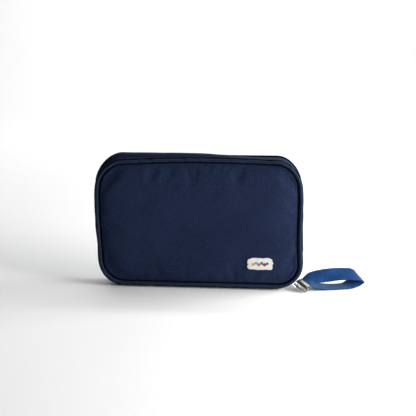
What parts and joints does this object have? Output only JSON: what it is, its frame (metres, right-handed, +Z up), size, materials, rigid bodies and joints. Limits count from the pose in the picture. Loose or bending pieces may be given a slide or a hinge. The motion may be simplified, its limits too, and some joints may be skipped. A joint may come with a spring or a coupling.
{
  "type": "travel document organizer",
  "caption": "Padded zip-around travel document organizer with piped edges, inside pockets and card slots, and a webbing wrist strap on the zip pull.",
  "frame": {"origin": "on the standing surface, under the middle of the case's bottom edge", "axes": "+X to the right along the long side, +Y to the back of the case, +Z up"},
  "size_m": [0.3057, 0.0386, 0.148],
  "materials": {
    "navy_canvas": "closely woven navy polyester, matt with a soft sheen",
    "piping_canvas": "self-fabric piping and binding",
    "zip_tape": "navy herringbone zip tape with nylon coil",
    "lining_cloth": "smooth grey-blue nylon lining",
    "pocket_mesh": "open dark mesh",
    "foam_board": "white closed-cell foam board",
    "strap_webbing": "bright blue ribbed webbing",
    "label_weave": "cream woven label with small coloured shapes",
    "zinc_hardware": "plated zinc, lightly brushed"
  },
  "bodies": {
    "root": {"back_panel": "navy_canvas", "side_gusset": "navy_canvas", "spine_gusset": "navy_canvas", "back_piping": "piping_canvas", "back_binding": "piping_canvas", "back_foam_board": "foam_board", "back_lining": "lining_cloth", "gusset_lining": "lining_cloth", "spine_lining": "lining_cloth", "zip_tape_back": "zip_tape", "zip_coil_back": "zip_tape", "ticket_pocket": "lining_cloth", "passport_pocket_left": "lining_cloth", "passport_pocket_right": "lining_cloth", "mesh_pocket": "pocket_mesh", "mesh_zip_tape": "zip_tape", "mesh_zip_coil": "zip_tape", "pen_loop": "piping_canvas", "zip_stop_left": "zinc_hardware", "zip_stop_right": "zinc_hardware"},
    "cover": {"front_panel": "navy_canvas", "front_foam_board": "foam_board", "front_lining": "lining_cloth", "front_piping": "piping_canvas", "front_binding": "piping_canvas", "zip_tape_front": "zip_tape", "zip_coil_front": "zip_tape", "label_patch": "label_weave", "cover_slip_pocket": "lining_cloth", "card_slot_left_1": "lining_cloth", "card_slot_left_2": "lining_cloth", "card_slot_left_3": "lining_cloth", "card_slot_right_1": "lining_cloth", "card_slot_right_2": "lining_cloth", "card_slot_right_3": "lining_cloth"},
    "zip_slider": {"slider_body": "zinc_hardware"},
    "link": {"pull_link": "zinc_hardware"},
    "strap": {"strap_clamp": "zinc_hardware", "wrist_strap": "strap_webbing"},
    "pocket_slider": {"mesh_zip_slider": "zinc_hardware"},
    "pocket_tab": {"mesh_zip_tab": "zinc_hardware"}
  },
  "joints": [
    {"name": "cover_hinge", "type": "hinge", "parent": "root", "child": "cover", "pos_m": [0, -0.0121, 0.0045], "axis": [1, 0, 0], "range_deg": [0, 86]},
    {"name": "zip_travel", "type": "hinge", "parent": "root", "child": "zip_slider", "pos_m": [0.086, -0.00725, 0.03], "axis": [0, -1, 0], "range_deg": [0, 48]},
    {"name": "link_swing", "type": "hinge", "parent": "zip_slider", "child": "link", "pos_m": [0.11176, -0.01425, 0.00347], "axis": [0.6536, -0.7139, -0.2514], "range_deg": [0, 18]},
    {"name": "strap_swing", "type": "hinge", "parent": "link", "child": "strap", "pos_m": [0.11504, -0.01255, 0.00713], "axis": [0.6536, -0.7139, -0.2514], "range_deg": [0, 55]},
    {"name": "pocket_zip_travel", "type": "slide", "parent": "root", "child": "pocket_slider", "axis": [1, 0, 0], "range_m": [-0.164, 0]},
    {"name": "pocket_tab_flip", "type": "hinge", "parent": "pocket_slider", "child": "pocket_tab", "pos_m": [0.086, 0.0058, 0.1233], "axis": [0, 0, 1], "range_deg": [0, 165]}
  ]
}
